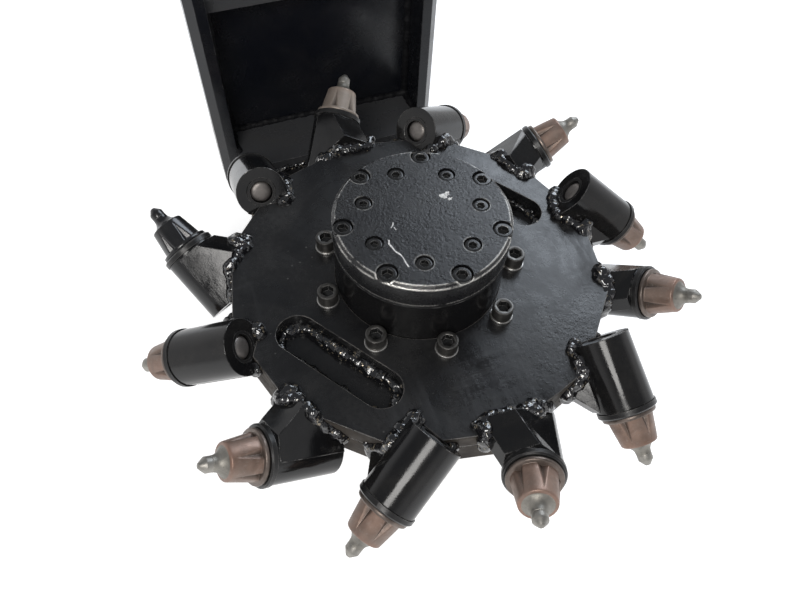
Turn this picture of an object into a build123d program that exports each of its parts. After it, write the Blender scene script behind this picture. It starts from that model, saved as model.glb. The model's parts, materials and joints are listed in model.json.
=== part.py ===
from build123d import *
import math
import os

# Asphalt milling attachment: a disc with welded holders for turning picks, driven by a hub motor,
# carried by a box bracket with a two-pin hitch. Lengths in mm, angles in degrees.
# The origin is on the hitch pad, midway between the two ears: X across, +Y to the carrier,
# +Z along the cutter's axis. The pick tips swing evenly above and below the plane Z = 0.

# Clearances
turning_gap = 0.3
weld_gap = 0.3
running_gap = 6.0

# Picks
cutting_diameter = 502.0
pick_tilt = 30.0
pick_lean = 26.0
tip_rise = 31.0
shank_diameter = 20.0
collar_diameter = 45.0
collar_thickness = 3.7
body_base_diameter = 38.0
body_top_diameter = 30.0
body_length = 24.0
nose_base_diameter = 21.0
nose_length = 9.5
nose_hollow = 1.2
carbide_diameter = 12.5
carbide_length = 10.0
carbide_flat_diameter = 4.0
carbide_cone_length = 5.0
flute_count = 6
flute_width = 8.0
flute_depth = 3.2
flute_length = 21.0

# Picks as welded round the rim, with the small differences of hand fitting: angle from +X, side that the
# tip points to (+1 up, -1 down), then how far the tip sits out and up, and the extra lean and tilt
pick_stations = [
    (86.9, +1, 4.0, 4.5, 1.0, -2.0),
    (55.0, -1, 0.0, 0.0, 0.0, 0.0),
    (27.1, +1, 1.0, 1.0, 0.0, 0.0),
    (-4.5, -1, -3.5, -3.0, 0.0, 5.5),
    (-29.1, +1, -2.5, -2.0, 0.5, 5.0),
    (-61.6, -1, 3.5, 0.5, -1.0, -1.5),
    (-91.5, +1, -1.0, 0.5, -1.5, -4.0),
    (-123.3, -1, -2.5, 1.5, 2.0, -3.0),
    (-150.5, +1, 3.5, -0.5, -1.0, 0.5),
    (-182.0, -1, 5.0, 2.0, -1.5, -1.5),
    (-212.2, +1, 0.5, -1.5, 3.0, -0.5),
    (-243.0, -1, 0.0, 0.0, 0.0, 0.0),
]

# Pick holders, their wear rings and retaining rings
holder_diameter = 48.0
holder_length = 60.0
holder_turned_length = 2.0
foot_length = 32.0
foot_slope = 40.0
ridge_half_turn = 30.0
wear_ring_diameter = 50.0
wear_ring_thickness = 5.0
wear_ring_chamfer = 1.2
retaining_ring_diameter = 27.0
retaining_ring_length = 8.0
retaining_ring_wall = 2.6
shank_recess = 2.0
knockout_diameter = 34.0
knockout_length = 30.0

# Disc of two plates
disc_top = 14.0
upper_plate_thickness = 18.0
lower_plate_thickness = 27.0
rim_to_tip = 84.0
disc_side_count = 12
disc_side_angle = 3.0
slot_length = 124.0
slot_hub_margin = 25.0
slot_rim_margin = 31.0
slot_angle = 34.6

# Hub
hub_diameter = 150.0
hub_height = 74.0
cover_thickness = 26.0
cover_chamfer = 3.0
groove_depth = 1.5
barrel_wall = 23.0
flange_margin = 18.5
flange_thickness = 18.0
disc_bolt_count = 9
disc_bolt_hub_margin = 12.5
disc_bolt_diameter = 12.0
disc_bolt_angle = 24.6
cover_screw_count = 7
outer_screw_margin = 8.1
outer_screw_head_diameter = 17.5
outer_screw_depth = 11.0
outer_screw_angle = 70.0
inner_screw_margin = 24.8
inner_screw_head_diameter = 15.0
inner_screw_depth = 8.5

# Bracket
swing_margin = 74.0
stand_depth = 143.0
bracket_inner_width = 228.0
cheek_thickness = 20.0
cheek_proud = 40.0
cheek_bevel = 9.0
cheek_corner_radius = 18.0
bracket_height = 292.0
wall_thickness = 12.0
floor_depth_below_disc = 80.0
floor_thickness = 14.0
floor_length = 70.0
cross_plate_thickness = 14.0
cross_plate_length = 24.0
cross_plate_above_disc = 91.0
arm_thickness = 20.0
arm_end_radius = 105.0
arm_straight_length = 85.0

# Motor
motor_flange_diameter = 190.0
motor_cap_diameter = 150.0
port_block_width = 96.0
port_block_length = 28.0
port_spacing = 46.0
port_diameter = 19.0
port_depth = 16.0

# Hitch
pad_width = 210.0
pad_thickness = 16.0
ear_gap = 110.0
ear_thickness = 20.0
ear_base_width = 200.0
ear_end_radius = 38.0
pin_diameter = 35.0
pin_spacing = 150.0
pin_reach = 75.0
boss_diameter = 66.0
boss_length = 12.0

# Sizes and places worked out from the others
disc_width = cutting_diameter - 2 * rim_to_tip
slot_width = (disc_width - hub_diameter) / 2 - slot_hub_margin - slot_rim_margin
slot_circle_diameter = hub_diameter + 2 * slot_hub_margin + slot_width
disc_bolt_circle_diameter = hub_diameter + 2 * disc_bolt_hub_margin
flange_diameter = disc_bolt_circle_diameter + 2 * flange_margin
spindle_diameter = hub_diameter - 2 * barrel_wall
outer_screw_circle_diameter = hub_diameter - 2 * outer_screw_margin
inner_screw_circle_diameter = hub_diameter - 2 * inner_screw_margin
inner_screw_angle = outer_screw_angle + 180
axis_to_wall = cutting_diameter / 2 + swing_margin
arm_taper_length = axis_to_wall - arm_straight_length
cutter_y = -(axis_to_wall + wall_thickness + pad_thickness)
disc_joint = disc_top - upper_plate_thickness
disc_bottom = disc_joint - lower_plate_thickness
flange_bottom = disc_bottom - flange_thickness
cover_top = disc_top + hub_height
cover_bottom = cover_top - cover_thickness
ground = disc_top - stand_depth
bracket_top = ground + bracket_height
floor_top = disc_top - floor_depth_below_disc
arm_top = floor_top - floor_thickness
arm_bottom = arm_top - arm_thickness
motor_flange_top = flange_bottom - running_gap
wall_front = cutter_y + axis_to_wall
wall_back = wall_front + wall_thickness
collar_start = wear_ring_thickness + turning_gap
body_start = collar_start + collar_thickness
nose_start = body_start + body_length
carbide_start = nose_start + nose_length
pick_reach = carbide_start + carbide_length
body_narrowing = (body_base_diameter - body_top_diameter) / 2
pick_bore_diameter = shank_diameter + 2 * turning_gap
pin_places = [(-pin_spacing / 2, pin_reach), (pin_spacing / 2, pin_reach)]


def cutter_plane(height):
    """Horizontal plane at a height, centred on the cutter's axis."""
    return Plane((0, cutter_y, height))


def station_plane(angle, side, out, up, extra_lean, extra_tilt):
    """Seat of one pick: z along the pick from the holder's front face, x away from the holder's ridge."""
    radial = Vector(math.cos(math.radians(angle)), math.sin(math.radians(angle)), 0)
    ahead = Vector(radial.Y, -radial.X, 0)
    lean = math.radians(pick_lean + extra_lean)
    tilt = math.radians(pick_tilt + extra_tilt)
    level = radial * math.cos(lean) + ahead * math.sin(lean)
    pick_axis = level * math.cos(tilt) + Vector(0, 0, side * math.sin(tilt))
    tip = Vector(0, cutter_y, side * tip_rise + up) + radial * (cutting_diameter / 2 + out)
    away = Vector(0, 0, -side)
    return Plane(
        origin=tip - pick_axis * pick_reach,
        x_dir=away - pick_axis * away.dot(pick_axis),
        z_dir=pick_axis,
    )


station_planes = [station_plane(*station) for station in pick_stations]
up_planes = [plane for plane in station_planes if plane.z_dir.Z > 0]
down_planes = [plane for plane in station_planes if plane.z_dir.Z < 0]


def keep(part, label):
    """Name a finished piece and write it out."""
    part.label = label
    export_step(part, f"parts/{label}.step")


os.makedirs("parts", exist_ok=True)

# Flute: a groove with two flat sides, deepest at the collar and running out towards the nose
flute_root = body_base_diameter / 2 - flute_depth
flute_end = body_base_diameter / 2 - body_narrowing * flute_length / body_length
flute_run = Vector(flute_end - flute_root, 0, flute_length)
with BuildPart() as flute:
    with BuildSketch(Plane.XY.offset(body_start)):
        Polygon(
            (flute_root, 0),
            (flute_root + 2 * flute_depth, -flute_width),
            (flute_root + 2 * flute_depth, flute_width),
            align=None,
        )
    extrude(amount=flute_run.length, dir=flute_run)

# Pick: carbide tip, nose, fluted body, collar and round shank, turned about its own axis
with BuildPart() as pick:
    with BuildSketch(Plane.XZ):
        with BuildLine():
            nose_foot = (nose_base_diameter / 2, nose_start)
            nose_head = (carbide_diameter / 2, carbide_start)
            Polyline(
                nose_head,
                (carbide_diameter / 2, pick_reach - carbide_cone_length),
                (carbide_flat_diameter / 2, pick_reach),
                (0, pick_reach),
                (0, shank_recess - holder_length),
                (shank_diameter / 2, shank_recess - holder_length),
                (shank_diameter / 2, collar_start),
                (collar_diameter / 2, collar_start),
                (collar_diameter / 2, body_start),
                (body_base_diameter / 2, body_start),
                (body_top_diameter / 2, nose_start),
                nose_foot,
            )
            SagittaArc(nose_foot, nose_head, nose_hollow)
        make_face()
    revolve(axis=Axis.Z)
    with PolarLocations(0, flute_count):
        add(flute.part, mode=Mode.SUBTRACT)
for number, plane in enumerate(station_planes, start=1):
    keep(pick.part.moved(plane.location), f"pick_{number:02d}")


def holder_solid(growth, length, hand):
    """Round bar with a ridge and a sloping foot on its disc side; hand is +1 for a tip up, -1 for down."""
    radius = holder_diameter / 2 + growth
    slope = math.radians(foot_slope)
    turn = math.radians(ridge_half_turn)
    eave = radius * math.tan(turn)
    foot_run = Vector(
        -math.sin(slope) * math.sin(turn),
        -math.sin(slope) * math.cos(turn) * hand,
        -math.cos(slope),
    )
    with BuildPart() as bar:
        with BuildSketch(Plane.XY.offset(growth)):
            Circle(radius)
        extrude(amount=-length - growth)
        with BuildSketch(Plane.XY.offset(growth - holder_turned_length)) as ridge:
            Polygon(
                (2 * growth, radius),
                (-eave, radius),
                (-radius / math.cos(turn), 0),
                (-eave, -radius),
                (2 * growth, -radius),
                align=None,
            )
        extrude(amount=holder_turned_length - length - growth)
        extrude(ridge.sketch, amount=foot_length + 2 * growth / math.cos(slope), dir=foot_run)
    return bar.part


def bored_holder(hand):
    """Holder bored for the pick's shank, with a recess for the retaining ring at its rear."""
    solid = holder_solid(0, holder_length, hand)
    with BuildPart() as holder:
        add(solid)
        with BuildSketch():
            Circle(pick_bore_diameter / 2)
        extrude(amount=-holder_length, mode=Mode.SUBTRACT)
        with BuildSketch(Plane.XY.offset(-holder_length)):
            Circle(retaining_ring_diameter / 2 + turning_gap)
        extrude(amount=retaining_ring_length, mode=Mode.SUBTRACT)
    return holder.part


# Holders welded into the rim, half of them each way up
holder_up = bored_holder(+1)
holder_down = bored_holder(-1)
with BuildPart() as holders:
    with Locations(*up_planes):
        add(holder_up)
    with Locations(*down_planes):
        add(holder_down)
keep(holders.part, "pick_holders")

# Pockets that take the holders; where the tip points up, a round way below the disc to knock the pick out
pocket_solid = holder_solid(weld_gap, holder_length + weld_gap, +1)
with BuildPart() as pocket_up:
    add(pocket_solid)
    with BuildSketch(Plane.XY.offset(-holder_length)):
        Circle(knockout_diameter / 2)
    extrude(amount=-knockout_length)
pocket_down = holder_solid(weld_gap, holder_length + weld_gap, -1)

# Wear ring between the holder and the pick's collar
with BuildPart() as wear_ring:
    with BuildSketch():
        Circle(wear_ring_diameter / 2)
        Circle(pick_bore_diameter / 2, mode=Mode.SUBTRACT)
    extrude(amount=wear_ring_thickness)
    chamfer(wear_ring.faces().sort_by(Axis.Z)[-1].outer_wire().edges(), wear_ring_chamfer)

with BuildPart() as wear_rings:
    with Locations(*station_planes):
        add(wear_ring.part)
keep(wear_rings.part, "wear_rings")

# Retaining ring round the shank's end, in the holder's recess
with BuildPart() as retaining_ring:
    with BuildSketch(Plane.XY.offset(-holder_length)):
        Circle(retaining_ring_diameter / 2)
        Circle(retaining_ring_diameter / 2 - retaining_ring_wall, mode=Mode.SUBTRACT)
    extrude(amount=retaining_ring_length)

with BuildPart() as retaining_rings:
    with Locations(*station_planes):
        add(retaining_ring.part)
keep(retaining_rings.part, "retaining_rings")


def disc_outline():
    """Many-sided outline round the hub, with the disc bolts' holes."""
    RegularPolygon(disc_width / 2, disc_side_count, major_radius=False, rotation=disc_side_angle)
    Circle(hub_diameter / 2 + turning_gap, mode=Mode.SUBTRACT)
    with PolarLocations(disc_bolt_circle_diameter / 2, disc_bolt_count, start_angle=disc_bolt_angle):
        Circle(disc_bolt_diameter / 2 + turning_gap, mode=Mode.SUBTRACT)


# Upper and lower disc plates, pocketed for the holders; the upper has two slots for welding it to the lower
with BuildPart() as disc_upper:
    with BuildSketch(cutter_plane(disc_top)):
        disc_outline()
        with PolarLocations(slot_circle_diameter / 2, 2, start_angle=slot_angle):
            SlotOverall(slot_length, slot_width, rotation=90, mode=Mode.SUBTRACT)
    extrude(amount=-upper_plate_thickness)
    with Locations(*up_planes):
        add(pocket_up.part, mode=Mode.SUBTRACT)
    with Locations(*down_planes):
        add(pocket_down, mode=Mode.SUBTRACT)
keep(disc_upper.part, "disc_upper_plate")

with BuildPart() as disc_lower:
    with BuildSketch(cutter_plane(disc_joint)):
        disc_outline()
    extrude(amount=-lower_plate_thickness)
    with Locations(*up_planes):
        add(pocket_up.part, mode=Mode.SUBTRACT)
    with Locations(*down_planes):
        add(pocket_down, mode=Mode.SUBTRACT)
keep(disc_lower.part, "disc_lower_plate")

# Hub flange under the disc, which the disc bolts screw into
with BuildPart() as hub_flange:
    with BuildSketch(cutter_plane(flange_bottom)):
        Circle(flange_diameter / 2)
        Circle(spindle_diameter / 2 + turning_gap, mode=Mode.SUBTRACT)
        with PolarLocations(disc_bolt_circle_diameter / 2, disc_bolt_count, start_angle=disc_bolt_angle):
            Circle(disc_bolt_diameter / 2 + turning_gap, mode=Mode.SUBTRACT)
    extrude(amount=flange_thickness)
keep(hub_flange.part, "hub_flange")

# Hub barrel up through the disc, and its cover, with a groove where the two meet
with BuildPart() as hub_barrel:
    with BuildSketch(cutter_plane(disc_bottom)):
        Circle(hub_diameter / 2)
        Circle(spindle_diameter / 2 + turning_gap, mode=Mode.SUBTRACT)
    extrude(amount=cover_bottom - disc_bottom)
    chamfer(hub_barrel.faces().sort_by(Axis.Z)[-1].outer_wire().edges(), groove_depth)
keep(hub_barrel.part, "hub_barrel")

# Hub cover with two staggered rings of counterbored screws
with BuildPart() as hub_cover:
    with BuildSketch(cutter_plane(cover_bottom)):
        Circle(hub_diameter / 2)
    extrude(amount=cover_thickness)
    chamfer(hub_cover.faces().sort_by(Axis.Z)[-1].edges(), cover_chamfer)
    chamfer(hub_cover.faces().sort_by(Axis.Z)[0].edges(), groove_depth)
    with BuildSketch(cutter_plane(cover_top)):
        outer_circle = PolarLocations(outer_screw_circle_diameter / 2, cover_screw_count, outer_screw_angle)
        with outer_circle:
            Circle(outer_screw_head_diameter / 2)
    extrude(amount=-outer_screw_depth, mode=Mode.SUBTRACT)
    with BuildSketch(cutter_plane(cover_top)):
        inner_circle = PolarLocations(inner_screw_circle_diameter / 2, cover_screw_count, inner_screw_angle)
        with inner_circle:
            Circle(inner_screw_head_diameter / 2)
    extrude(amount=-inner_screw_depth, mode=Mode.SUBTRACT)
keep(hub_cover.part, "hub_cover")

# Hub motor: spindle inside the hub, flange on the arm
with BuildPart() as motor_spindle:
    with BuildSketch(cutter_plane(arm_top)):
        Circle(motor_flange_diameter / 2)
    extrude(amount=motor_flange_top - arm_top)
    with BuildSketch(cutter_plane(motor_flange_top)):
        Circle(spindle_diameter / 2)
    extrude(amount=cover_bottom - turning_gap - motor_flange_top)
keep(motor_spindle.part, "motor_spindle")

# Motor cap under the arm, which the attachment stands on, with two ports facing the carrier
with BuildPart() as motor_cap:
    with BuildSketch(cutter_plane(arm_bottom)):
        Circle(motor_cap_diameter / 2)
        with Locations((0, motor_cap_diameter / 4 + port_block_length / 2)):
            Rectangle(port_block_width, motor_cap_diameter / 2 + port_block_length)
    extrude(amount=ground - arm_bottom)
    port_face = Plane.XZ.offset(-(cutter_y + motor_cap_diameter / 2 + port_block_length))
    with BuildSketch(port_face):
        with Locations(
            (-port_spacing / 2, (arm_bottom + ground) / 2),
            (port_spacing / 2, (arm_bottom + ground) / 2),
        ):
            Circle(port_diameter / 2)
    extrude(amount=port_depth, mode=Mode.SUBTRACT)
keep(motor_cap.part, "motor_cap")

# Arm plate from the bracket to the motor
with BuildPart() as motor_arm:
    with BuildSketch(cutter_plane(arm_bottom)):
        Circle(arm_end_radius)
        half_width = bracket_inner_width / 2
        Polygon(
            (-arm_end_radius, 0),
            (arm_end_radius, 0),
            (half_width, arm_taper_length),
            (half_width, axis_to_wall + wall_thickness),
            (-half_width, axis_to_wall + wall_thickness),
            (-half_width, arm_taper_length),
            align=None,
        )
    extrude(amount=arm_thickness)
keep(motor_arm.part, "motor_arm")

# Bracket: wall, floor, cross plate and two cheeks
with BuildPart() as bracket_wall:
    with BuildSketch(Plane.XZ.offset(-wall_back)):
        with Locations((0, (arm_top + bracket_top) / 2)):
            Rectangle(bracket_inner_width, bracket_top - arm_top)
    extrude(amount=wall_thickness)
keep(bracket_wall.part, "bracket_wall")

with BuildPart() as bracket_floor:
    with BuildSketch(Plane.XY.offset(arm_top)):
        with Locations((0, wall_front - floor_length / 2)):
            Rectangle(bracket_inner_width, floor_length)
    extrude(amount=floor_thickness)
keep(bracket_floor.part, "bracket_floor")

with BuildPart() as cross_plate:
    with BuildSketch(Plane.XY.offset(disc_top + cross_plate_above_disc)):
        with Locations((0, wall_front - cross_plate_length / 2)):
            Rectangle(bracket_inner_width, cross_plate_length)
    extrude(amount=cross_plate_thickness)
keep(cross_plate.part, "cross_plate")


def cheek(side):
    """Side plate of the bracket; side is +1 at +X and -1 at -X."""
    with BuildPart() as plate:
        with BuildSketch(Plane.YZ.offset(side * bracket_inner_width / 2)):
            with Locations((wall_back, ground)):
                Rectangle(cheek_proud + wall_thickness, bracket_height, align=(Align.MAX, Align.MIN))
            fillet(vertices().group_by(Axis.Y)[0], cheek_corner_radius)
        extrude(amount=side * cheek_thickness)
        outer_face = plate.faces().sort_by(Axis.X)[-1 if side > 0 else 0]
        front_edges = outer_face.edges().filter_by(lambda edge: edge.center().Y < wall_front - wall_thickness)
        chamfer(front_edges, cheek_bevel)
    return plate.part


keep(cheek(-1), "cheek_left")
keep(cheek(+1), "cheek_right")

# Hitch: two ears on the wall, the pad between them and the bosses round their pin bores
with BuildPart() as hitch_pad:
    with BuildSketch(Plane.XZ):
        Rectangle(pad_width, ear_gap - 2 * weld_gap)
    extrude(amount=pad_thickness)
keep(hitch_pad.part, "hitch_pad")


def hitch_ear(start):
    """Ear plate in the cutter's plane from a start height upwards, bored for both hitch pins."""
    with BuildPart() as ear:
        with BuildSketch(Plane.XY.offset(start)):
            with BuildLine():
                Line((-ear_base_width / 2, -pad_thickness), (ear_base_width / 2, -pad_thickness))
                for place in pin_places:
                    CenterArc(place, ear_end_radius, 0, 360)
            make_hull()
            with Locations(*pin_places):
                Circle(pin_diameter / 2, mode=Mode.SUBTRACT)
        extrude(amount=ear_thickness)
    return ear.part


keep(hitch_ear(ear_gap / 2), "hitch_ear_upper")
keep(hitch_ear(-ear_gap / 2 - ear_thickness), "hitch_ear_lower")

with BuildPart() as hitch_bosses:
    for start in (ear_gap / 2 + ear_thickness, -ear_gap / 2 - ear_thickness - boss_length):
        with BuildSketch(Plane.XY.offset(start)):
            with Locations(*pin_places):
                Circle(boss_diameter / 2)
                Circle(pin_diameter / 2, mode=Mode.SUBTRACT)
        extrude(amount=boss_length)
keep(hitch_bosses.part, "hitch_bosses")
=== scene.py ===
import json
import math
import random

import bmesh
import bpy
import numpy as np
from mathutils import Matrix, Vector, noise


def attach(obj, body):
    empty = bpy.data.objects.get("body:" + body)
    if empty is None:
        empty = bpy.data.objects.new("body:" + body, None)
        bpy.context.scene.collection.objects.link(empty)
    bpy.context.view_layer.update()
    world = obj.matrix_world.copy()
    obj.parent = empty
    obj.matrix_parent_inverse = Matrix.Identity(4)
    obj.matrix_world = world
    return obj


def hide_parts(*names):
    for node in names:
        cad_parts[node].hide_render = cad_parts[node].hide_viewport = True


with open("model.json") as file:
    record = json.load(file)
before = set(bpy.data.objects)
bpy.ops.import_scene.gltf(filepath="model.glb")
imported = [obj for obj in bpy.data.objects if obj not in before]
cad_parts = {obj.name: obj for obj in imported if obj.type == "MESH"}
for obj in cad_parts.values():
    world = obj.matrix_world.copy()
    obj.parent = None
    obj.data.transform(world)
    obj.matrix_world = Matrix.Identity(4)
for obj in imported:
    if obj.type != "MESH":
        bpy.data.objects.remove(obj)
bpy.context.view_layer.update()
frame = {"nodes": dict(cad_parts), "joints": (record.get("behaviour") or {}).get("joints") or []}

# Asphalt milling attachment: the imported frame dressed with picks, holders, welds, screws, paint and wear.
# Lengths in this script are millimetres until a mesh is made; the frame itself is in metres.

MM = 0.001
SEED = 1074
RNG = random.Random(SEED)

# Places and sizes of the construction, in mm
CUTTER_Y = -353.0
DISC_TOP, DISC_JOINT, DISC_BOTTOM = 14.0, -4.0, -31.0
DISC_SIDES, DISC_APOTHEM, DISC_TURN = 12, 167.0, 18.0
COVER_TOP = 88.0
GROUND = -129.0
WALL_FRONT, WALL_BACK = -28.0, -16.0
FLOOR_TOP, FLOOR_DEPTH, ARM_TOP = -66.0, 70.0, -80.0
CROSS_LOW, CROSS_HIGH, CROSS_DEPTH = 105.0, 119.0, 24.0
BRACKET_TOP, HALF_INNER = 163.0, 114.0
AXIS = Vector((0.0, CUTTER_Y, 0.0))


def linked(name, data):
    """A new object in the scene."""
    made = bpy.data.objects.new(name, data)
    bpy.context.scene.collection.objects.link(made)
    return made


# Camera at the photograph's viewpoint
PHOTO_WIDTH, PHOTO_HEIGHT, SENSOR_WIDTH = 800, 600, 36.0
CAM_PLACE = Vector((-159.6, -689.1, 507.1))
CAM_RIGHT = Vector((0.9359, -0.3508, 0.0306))
CAM_UP = Vector((0.2742, 0.7805, 0.5617))
CAM_FORWARD = Vector((0.2209, 0.5174, -0.8268))
CAM_FOCAL_PX = 677.1

cam_data = bpy.data.cameras.new("camera")
cam_data.sensor_width = SENSOR_WIDTH
cam_data.lens = CAM_FOCAL_PX * SENSOR_WIDTH / PHOTO_WIDTH
cam_data.clip_start, cam_data.clip_end = 0.01, 50.0
cam = linked("camera", cam_data)
cam.matrix_world = Matrix((CAM_RIGHT, CAM_UP, -CAM_FORWARD)).transposed().to_4x4()
cam.location = CAM_PLACE * MM
bpy.context.scene.camera = cam
bpy.context.scene.view_settings.view_transform = "Standard"


def photo_point(px, py, height):
    """Point at a height, in mm, that shows at a pixel of the photograph."""
    right, up = px - PHOTO_WIDTH / 2, PHOTO_HEIGHT / 2 - py
    ray = CAM_FORWARD * CAM_FOCAL_PX + CAM_RIGHT * right + CAM_UP * up
    return CAM_PLACE + ray * ((height - CAM_PLACE.z) / ray.z)


# Shader building
class Shader:
    """A material's node tree with short calls for the nodes used here."""

    INPUTS = {"color": "Base Color", "rough": "Roughness", "metal": "Metallic", "normal": "Normal",
              "specular": "Specular IOR Level"}
    EDGE_SCALE = 0.3

    def __init__(self, name):
        self.material = bpy.data.materials.new(name)
        self.material.use_nodes = True
        self.tree = self.material.node_tree
        self.bsdf = self.tree.nodes["Principled BSDF"]
        self.place = self.tree.nodes.new("ShaderNodeTexCoord").outputs["Object"]

    def put(self, socket, value):
        """Links a socket to another node's output, or gives it a plain value."""
        if isinstance(value, bpy.types.NodeSocket):
            self.tree.links.new(value, socket)
        else:
            socket.default_value = value

    def set(self, **values):
        for key, value in values.items():
            self.put(self.bsdf.inputs[self.INPUTS[key]], value)
        return self

    def node(self, kind, **props):
        made = self.tree.nodes.new(kind)
        for key, value in props.items():
            setattr(made, key, value)
        return made

    def stretched(self, scale, turn=(0, 0, 0)):
        """The place, turned by degrees and scaled per axis."""
        made = self.node("ShaderNodeMapping")
        self.put(made.inputs["Vector"], self.place)
        made.inputs["Rotation"].default_value = [math.radians(v) for v in turn]
        made.inputs["Scale"].default_value = scale
        return made.outputs[0]

    def noise(self, scale, detail=4.0, rough=0.55, at=None, warp=0.0):
        made = self.node("ShaderNodeTexNoise")
        self.put(made.inputs["Vector"], at or self.place)
        made.inputs["Scale"].default_value = scale
        made.inputs["Detail"].default_value = detail
        made.inputs["Roughness"].default_value = rough
        made.inputs["Distortion"].default_value = warp
        return made.outputs[0]

    def cells(self, scale):
        made = self.node("ShaderNodeTexVoronoi", feature="F1")
        self.put(made.inputs["Vector"], self.place)
        made.inputs["Scale"].default_value = scale
        return made.outputs["Distance"]

    def remap(self, value, low, high, to_low=0.0, to_high=1.0):
        made = self.node("ShaderNodeMapRange", clamp=True)
        names = ("Value", "From Min", "From Max", "To Min", "To Max")
        for name, v in zip(names, (value, low, high, to_low, to_high)):
            self.put(made.inputs[name], v)
        return made.outputs[0]

    def calc(self, op, a, b=0.0):
        made = self.node("ShaderNodeMath", operation=op)
        self.put(made.inputs[0], a)
        self.put(made.inputs[1], b)
        return made.outputs[0]

    def mix(self, fac, a, b):
        made = self.node("ShaderNodeMix", data_type="RGBA")
        self.put(made.inputs[0], fac)
        for socket, v in ((made.inputs[6], a), (made.inputs[7], b)):
            self.put(socket, v if isinstance(v, bpy.types.NodeSocket) else (*v, 1.0))
        return made.outputs[2]

    def bump(self, height, distance_mm, normal=None):
        made = self.node("ShaderNodeBump")
        self.put(made.inputs["Height"], height)
        made.inputs["Distance"].default_value = distance_mm * MM
        made.inputs["Strength"].default_value = 1.0
        if normal is not None:
            self.put(made.inputs["Normal"], normal)
        return made.outputs[0]

    def rounded(self, radius_mm):
        """Normal with its edges rounded off."""
        soft = self.node("ShaderNodeBevel", samples=6)
        soft.inputs["Radius"].default_value = radius_mm * MM
        return soft.outputs[0]

    def edges(self, radius_mm, low=0.04, high=0.3):
        """1 on edges that stick out, 0 on flat faces."""
        plain = self.node("ShaderNodeNewGeometry").outputs["Normal"]
        made = self.node("ShaderNodeVectorMath", operation="DOT_PRODUCT")
        self.put(made.inputs[0], self.rounded(radius_mm))
        self.put(made.inputs[1], plain)
        bend = self.calc("SUBTRACT", 1.0, made.outputs["Value"])
        return self.remap(bend, low * self.EDGE_SCALE, high * self.EDGE_SCALE)

    def axis_part(self, axis, at=None):
        made = self.node("ShaderNodeSeparateXYZ")
        self.put(made.inputs[0], at or self.place)
        return made.outputs[axis]

    def from_axis(self):
        """Distance from the cutter's axis."""
        made = self.node("ShaderNodeVectorMath", operation="DISTANCE")
        self.put(made.inputs[0], self.stretched((1, 1, 0)))
        made.inputs[1].default_value = (0.0, CUTTER_Y * MM, 0.0)
        return made.outputs["Value"]

    def attribute(self, name):
        return self.node("ShaderNodeAttribute", attribute_name=name).outputs["Fac"]


STEEL = (0.36, 0.35, 0.34)
DUST = (0.055, 0.050, 0.044)


def black_paint(name, color=(0.0085, 0.0085, 0.0095), rough=(0.2, 0.42), peel=0.02, wave=0.12, dust=0.5,
                wear=0.5, edge=0.9, scuffs=0.35, specular=0.5):
    """Gloss black paint over steel: rounded edges, orange peel, slow waves, dust, scuffs and bare edges."""
    s = Shader(name)
    cloud = s.noise(16, 6, 0.62, warp=0.6)
    fine = s.noise(230, 3, 0.6)
    film = s.remap(cloud, 0.42, 0.74, 0.0, dust)
    film = s.calc("MULTIPLY", film, s.remap(fine, 0.25, 0.75, 0.35, 1.0))
    tone = s.mix(film, color, DUST)
    streaks = s.noise(90, 5, 0.7, at=s.stretched((1.0, 0.06, 1.0), (0, 0, 31)))
    patches = s.remap(s.noise(9, 3), 0.5, 0.66, 0.0, scuffs)
    scuff = s.calc("MULTIPLY", s.remap(streaks, 0.60, 0.74), patches)
    tone = s.mix(scuff, tone, (0.07, 0.07, 0.072))
    rim = s.calc("MULTIPLY", s.edges(edge), s.remap(s.noise(62, 5, 0.7), 0.50, 0.66, 0.0, wear))
    tone = s.mix(rim, tone, STEEL)
    gloss = s.remap(s.noise(24, 5, 0.6, warp=0.4), 0.3, 0.72, *rough)
    gloss = s.calc("ADD", gloss, s.calc("MULTIPLY", scuff, 0.22))
    waves = s.bump(s.noise(42, 2, 0.5), wave, s.rounded(1.1))
    skin = s.bump(s.noise(760, 2, 0.5), peel, waves)
    s.set(color=tone, rough=gloss, metal=s.calc("MULTIPLY", rim, 0.9), normal=skin, specular=specular)
    return s.material


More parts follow.
